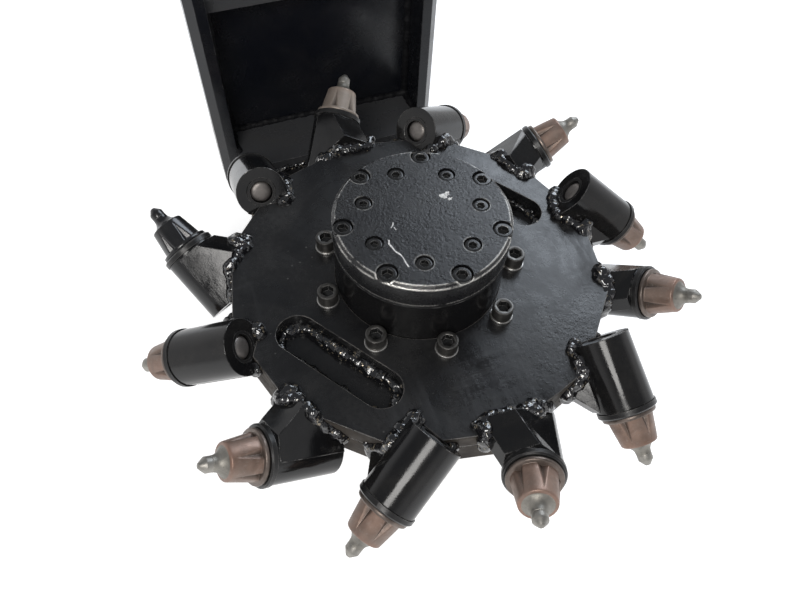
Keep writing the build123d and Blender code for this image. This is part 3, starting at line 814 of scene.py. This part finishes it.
def rim_skin(name, low, high):
    """Thin skin on each side of the disc between two heights, pressed to the plate along its edges."""
    verts, faces = [], []
    reach = DISC_APOTHEM + RIM_DUST_THICK
    half = reach * math.tan(math.radians(180.0 / DISC_SIDES)) - 0.4
    across, rise = 24, 6
    for angle in SIDE_ANGLES:
        out, along = ways_at(angle)
        base = len(verts)
        for j in range(rise + 1):
            for i in range(across + 1):
                p = AXIS + out * reach + along * (half * (2 * i / across - 1))
                p.z = low + (high - low) * j / rise
                edge = 1.0 if j in (0, rise) or i in (0, across) else 0.0
                p += out * (noise.noise(p * 0.11) * 0.10 - edge * RIM_DUST_THICK * 0.6)
                verts.append(tuple(p))
        for j in range(rise):
            for i in range(across):
                a = base + j * (across + 1) + i
                faces.append((a, a + 1, a + across + 2, a + across + 1))
    piece(name, verts, faces, RIM_DUST, "cutter", "black_paint")


rim_skin("rim_dust_upper", DISC_JOINT + 0.7, DISC_TOP - 0.9)
rim_skin("rim_dust_lower", DISC_BOTTOM + 0.6, DISC_JOINT - 0.7)


# Screws
BOLTS, BOLT_CIRCLE_R, BOLT_START, WASHER_THICK = 9, 87.5, 24.6, 2.6
SCREWS_PER_CIRCLE = 7
# Of the cover: circle's diameter and first angle; head's diameter, height, hexagon and seat below the top
COVER_CIRCLES = (
    (133.8, 70.0, 15.8, 9.6, 8.0, 11.0),
    (100.4, 250.0, 13.2, 7.4, 6.0, 8.5),
)


def hexagon(across, factor=1.0):
    """Reach of a hexagon's side at an angle."""
    def reach(angles):
        off = (np.asarray(angles) + math.pi / 6) % (math.pi / 3) - math.pi / 6
        return factor * across / 2 / np.cos(off)
    return reach


def socket_screw(diameter, height, across, depth):
    """Head of a socket screw, and 1 for the faces inside its socket."""
    r, floor = diameter / 2, height - depth
    outer = [
        (r - 0.4, 0.0), (r, 0.4), (r, height * 0.5), (r, height - 1.0), (r - 0.25, height - 0.4),
        (r - 0.9, height - 0.05), (r - 1.4, height), (hexagon(across, 1.13), height)]
    inner = [
        (hexagon(across, 1.03), height - 0.35), (hexagon(across), height - 0.8), (hexagon(across), floor),
        (across * 0.36, floor - 0.3), (0, floor - 1.2)]
    verts, faces, face_rows = lathe(outer + inner, 72)
    return verts, faces, [int(row >= len(outer)) for row in face_rows]


def ring(inner, outer, height, soft=0.35, segments=64):
    """Flat washer with softened edges."""
    rows = [(inner, 0.0), (outer - soft, 0.0), (outer, soft), (outer, height - soft), (outer - soft, height),
            (inner + soft, height), (inner, height - soft), (inner, 0.0)]
    verts, faces, _ = lathe(rows, segments)
    return verts, faces


def on_circle(radius, start, count):
    """Places spread evenly round the cutter's axis, as x and y."""
    for k in range(count):
        a = math.radians(start + 360.0 / count * k)
        yield radius * math.cos(a), CUTTER_Y + radius * math.sin(a)


head_verts, head_faces, head_inside = socket_screw(18.0, 12.0, 10.0, 6.5)
washer_verts, washer_faces = ring(6.5, 9.9, WASHER_THICK)
bolts, washers = [], []
for x, y in on_circle(BOLT_CIRCLE_R, BOLT_START, BOLTS):
    lean = Matrix.Rotation(math.radians(RNG.uniform(-0.7, 0.7)), 4, "X")
    seat = upright(x + RNG.uniform(-0.4, 0.4), y + RNG.uniform(-0.4, 0.4), DISC_TOP)
    washers.append((placed(washer_verts, seat), washer_faces))
    stand = upright(x, y, DISC_TOP + WASHER_THICK, RNG.uniform(0, 60)) @ lean
    bolts.append((placed(head_verts, stand), head_faces))
piece("disc_screws", *joined(bolts), [SCREW_STEEL, COVER_SCREW], "cutter", "machined_steel",
      head_inside * BOLTS, smooth=35.0)
piece("disc_washers", *joined(washers), WASHER_STEEL, "cutter", "machined_steel", smooth=35.0)

cover_screws = []
for circle, start, diameter, height, across, depth in COVER_CIRCLES:
    verts, faces, _ = socket_screw(diameter, height, across, across * 0.62)
    for x, y in on_circle(circle / 2, start, SCREWS_PER_CIRCLE):
        stand = upright(x, y, COVER_TOP - depth, RNG.uniform(0, 60))
        cover_screws.append((placed(verts, stand), faces))
piece("cover_screws", *joined(cover_screws), COVER_SCREW, "cutter", "black_paint", smooth=35.0)

# Thin band of paint round the cover's side
band = [(74.5, 63.8), (75.12, 63.8), (75.12, 84.6), (74.9, 85.1), (74.2, 85.5), (74.0, 84.9), (74.5, 63.8)]
verts, faces, _ = lathe(band, 240)
piece("cover_band", placed(verts, upright(0.0, CUTTER_Y, 0.0)), faces, COVER_PAINT, "cutter", "black_paint")


# Weld beads along the foot of the two slots, which join the upper plate to the lower
SLOT_R, SLOT_HALF, SLOT_STRAIGHT, BEAD_INSET, BEAD_PITCH = 118.0, 18.0, 44.0, 2.5, 2.6


def slot_path(angle):
    """Points along a slot's wall, inset from it, and whether each is on the hub's side."""
    out, along = ways_at(math.radians(angle))
    centre, half, pitch = AXIS + out * SLOT_R, SLOT_HALF - BEAD_INSET, BEAD_PITCH
    path = []
    runs = int(2 * SLOT_STRAIGHT / pitch)
    for side in (-1, 1):
        for k in range(runs + 1):
            run = SLOT_STRAIGHT * (2 * k / runs - 1)
            path.append((centre + along * run + out * (half * side), side < 0))
        turns = int(math.pi * half / pitch)
        for k in range(1, turns):
            t = math.pi * k / turns - math.pi / 2
            end = along * side * (SLOT_STRAIGHT + half * math.cos(t))
            path.append((centre + end + out * (half * math.sin(t)), t < 0))
    return path


def strewn(low, high, reach):
    """A seeded step: sideways by up to a reach, and up from the plates' joint by low to high."""
    wander = Vector((RNG.uniform(-1, 1), RNG.uniform(-1, 1), 0)) * reach
    return wander + Vector((0, 0, DISC_JOINT + RNG.uniform(low, high)))


def slot_bead(name, angle):
    """A bead round a slot, heavier on the hub's side, with a few spatters on it."""
    beads = []
    for p, hub_side in slot_path(angle):
        size = RNG.uniform(6.2, 8.2) if hub_side else RNG.uniform(3.6, 5.2)
        beads.append((p + strewn(0.5, 3.0, 1.1), size))
        if RNG.random() < 0.3:
            beads.append((p + strewn(4.0, 7.5, 2.4), RNG.uniform(1.8, 3.0)))
    lumps(name, beads, "cutter", 1.1, 0.9, SLOT_PAINT)


slot_bead("slot_bead_front", 214.6)
slot_bead("slot_bead_rear", 34.6)


# Scratches and a paint mark on the cover, placed by pixels of the photograph
MARK_LEVEL, BLOT_POINTS = COVER_TOP + 0.08, 40


def ribbon(name, pixels, width):
    """A thin strip laid on the cover along pixels of the photograph."""
    line = [photo_point(px, py, MARK_LEVEL) for px, py in pixels]
    verts, faces = [], []
    for k, p in enumerate(line):
        ahead = (line[min(k + 1, len(line) - 1)] - line[max(k - 1, 0)]).normalized()
        across = Vector((-ahead.y, ahead.x, 0)) * width * RNG.uniform(0.25, 0.7)
        verts += [p + across, p - across]
    for k in range(len(line) - 1):
        faces.append((2 * k, 2 * k + 1, 2 * k + 3, 2 * k + 2))
    piece(name, [tuple(v) for v in verts], faces, WHITE_MARK, "cutter", "black_paint")


ribbon("cover_scratch", [(389, 240), (389, 244), (392, 247), (395, 251), (398, 253), (401, 255), (404, 259),
                         (406, 263), (409, 267)], 1.3)
ribbon("cover_scratch_fine", [(391, 228), (393, 225), (393, 222)], 0.7)
ribbon("cover_scratch_short", [(394, 227), (396, 230), (397, 229)], 0.7)


def blot(name, px, py, size):
    """A ragged spot of paint laid on the cover."""
    centre = photo_point(px, py, MARK_LEVEL)
    verts, faces = [tuple(centre)], []
    for k in range(BLOT_POINTS):
        t = 2 * math.pi * k / BLOT_POINTS
        ragged = noise.noise(Vector((math.cos(t) * 1.7, math.sin(t) * 1.7, size)))
        r = size * (0.75 + 0.7 * ragged)
        verts.append(tuple(centre + Vector((math.cos(t) * r, math.sin(t) * r * 0.75, 0))))
        faces.append((0, 1 + k, 1 + (k + 1) % BLOT_POINTS))
    piece(name, verts, faces, WHITE_MARK, "cutter", "black_paint")


blot("cover_paint_mark", 443.2, 196.5, 4.6)
blot("cover_paint_mark_upper", 446.6, 193.4, 3.4)
blot("cover_paint_mark_end", 450.0, 198.6, 2.2)


# Paint on the construction's own nodes
def paint(material, *names):
    """Gives nodes of the frame a material."""
    for name in names:
        slots = frame["nodes"][name].data.materials
        slots.clear()
        slots.append(material)


paint(DISC_PAINT, "disc_upper_plate", "disc_lower_plate")
paint(COVER_PAINT, "hub_cover")
paint(BARREL_PAINT, "hub_barrel", "hub_flange")
paint(RING_STEEL, "wear_rings", "retaining_rings")
paint(FLOOR_PAINT_AND_SHEEN, "bracket_floor", "cross_plate")
paint(BRACKET_PAINT, "bracket_wall", "cheek_left", "cheek_right")
paint(PAINT, "motor_arm", "motor_spindle", "motor_cap")
paint(PAINT, "hitch_pad", "hitch_ear_upper", "hitch_ear_lower", "hitch_bosses")


# Floor, sky and lamps
FLOOR_HALF_M = 9


def floor_material():
    """Pale floor that glows for the camera and in reflections, and otherwise only scatters light."""
    s = Shader("pale_floor")
    tone = s.mix(s.remap(s.noise(3, 4), 0.3, 0.7), (0.84, 0.84, 0.84), (0.88, 0.88, 0.88))
    s.set(color=tone, rough=0.9, specular=0.0)
    rays = s.node("ShaderNodeLightPath").outputs
    seen = s.calc("MAXIMUM", rays["Is Camera Ray"], rays["Is Glossy Ray"])
    seen = s.calc("MAXIMUM", seen, rays["Is Transmission Ray"])
    s.put(s.bsdf.inputs["Emission Color"], (1, 1, 1, 1))
    s.put(s.bsdf.inputs["Emission Strength"], s.calc("MULTIPLY", seen, 0.62))
    return s.material


floor_mesh = bpy.data.meshes.new("floor")
corners = ((-1, -1), (1, -1), (1, 1), (-1, 1))
corners = [(x * FLOOR_HALF_M, y * FLOOR_HALF_M, GROUND * MM) for x, y in corners]
floor_mesh.from_pydata(corners, [], [(0, 1, 2, 3)])
floor_mesh.materials.append(floor_material())
floor = linked("floor", floor_mesh)

world = bpy.data.worlds.new("studio")
bpy.context.scene.world = world
world.use_nodes = True
tree = world.node_tree
sky = tree.nodes["Background"]
place = tree.nodes.new("ShaderNodeTexCoord")
split = tree.nodes.new("ShaderNodeSeparateXYZ")
tree.links.new(place.outputs["Generated"], split.inputs[0])
ramp = tree.nodes.new("ShaderNodeValToRGB")
below, above = ramp.color_ramp.elements[0], ramp.color_ramp.elements[1]
below.position, below.color = 0.30, (0.92, 0.92, 0.93, 1)
above.position, above.color = 0.55, (0.23, 0.24, 0.255, 1)
tree.links.new(split.outputs["Z"], ramp.inputs[0])
tree.links.new(ramp.outputs[0], sky.inputs["Color"])
sky.inputs["Strength"].default_value = 1.0


def lamp(name, azimuth, elevation, distance, size, power, color):
    """A round soft lamp aimed at the disc; azimuth from +X, elevation above the horizon."""
    data = bpy.data.lights.new(name, "AREA")
    data.shape, data.size, data.energy, data.color = "DISK", size, power, color
    made = linked(name, data)
    a, e = math.radians(azimuth), math.radians(elevation)
    back = Vector((math.cos(e) * math.cos(a), math.cos(e) * math.sin(a), math.sin(e)))
    made.location = AXIS * MM + back * distance
    made.rotation_mode = "QUATERNION"
    made.rotation_quaternion = (-back).to_track_quat("-Z", "Y")


lamp("key_lamp", 40, 38, 1.7, 1.0, 15.0, (0.82, 0.90, 1.0))
lamp("fill_lamp", -125, 50, 1.9, 0.8, 20.0, (1.0, 0.98, 0.95))
